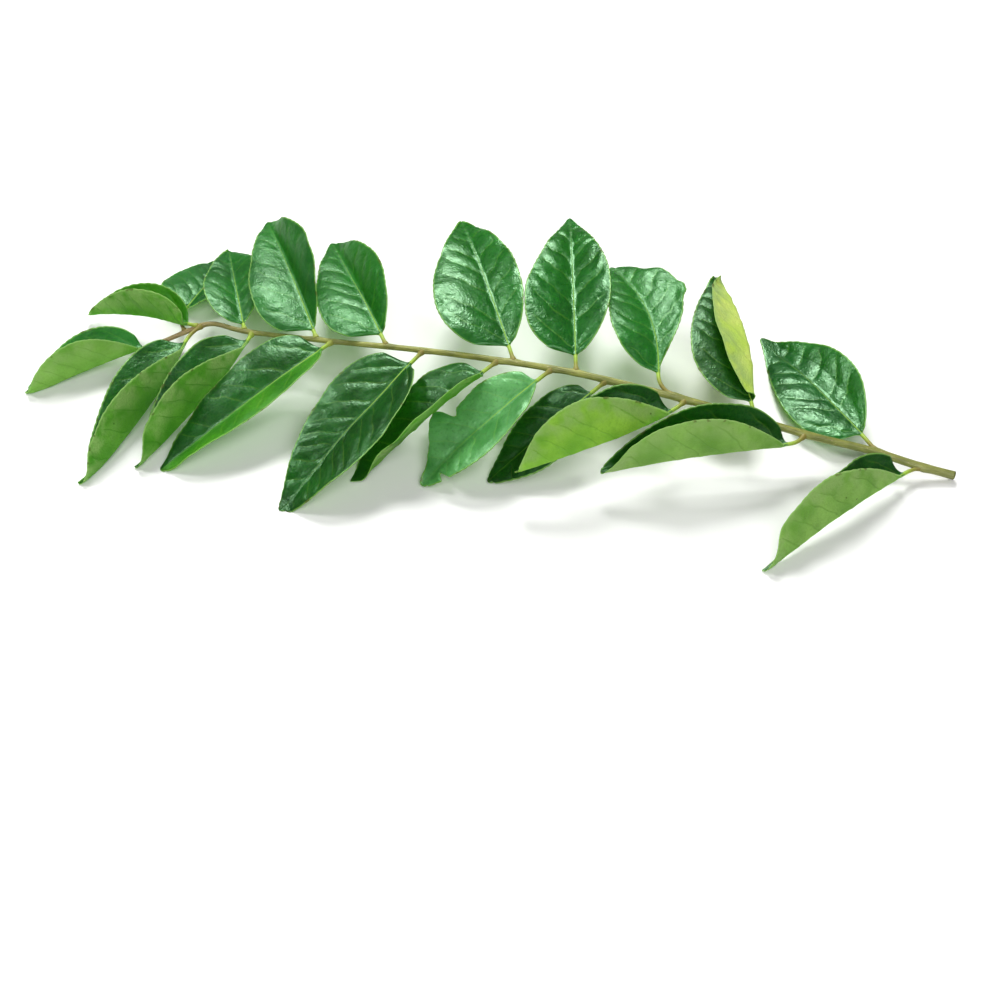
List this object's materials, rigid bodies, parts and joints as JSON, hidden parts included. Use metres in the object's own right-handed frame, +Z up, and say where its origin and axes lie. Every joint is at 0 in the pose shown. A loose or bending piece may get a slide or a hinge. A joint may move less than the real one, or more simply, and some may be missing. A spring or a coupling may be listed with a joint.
{
  "type": "curry leaf sprig",
  "caption": "Picked curry leaf sprig lying on a table: a low arched stem with leaflets along both sides and one at its tip, some flat, some folded like boats.",
  "frame": {"origin": "middle of the sprig's box in plan, at the height of the table it lies on", "axes": "+X along the stem towards its cut end, +Z up, -Y towards the side where most leaf tips touch the table"},
  "size_m": [0.2373, 0.1079, 0.0264],
  "materials": {
    "leaf_green": "waxy, softly glossy upper surface",
    "leaf_pale": "matt underside with faint veins",
    "stem_bark": "thin olive bark, slightly rough"
  },
  "bodies": {
    "root": {"stem": "stem_bark", "leaflet_left_01": "leaf_pale", "leaflet_left_02": "leaf_pale", "leaflet_left_03": "leaf_pale", "leaflet_left_04": "leaf_green", "leaflet_left_05": "leaf_green", "leaflet_left_06": "leaf_green", "leaflet_left_07": "leaf_green", "leaflet_left_08": "leaf_green", "leaflet_left_09": "leaf_pale", "leaflet_left_10": "leaf_pale", "leaflet_left_11": "leaf_pale", "leaflet_terminal": "leaf_pale", "leaflet_right_01": "leaf_green", "leaflet_right_02": "leaf_green", "leaflet_right_03": "leaf_green", "leaflet_right_04": "leaf_green", "leaflet_right_05": "leaf_green", "leaflet_right_06": "leaf_green", "leaflet_right_07": "leaf_green", "leaflet_right_08": "leaf_green", "leaflet_right_09": "leaf_green"}
  },
  "joints": []
}
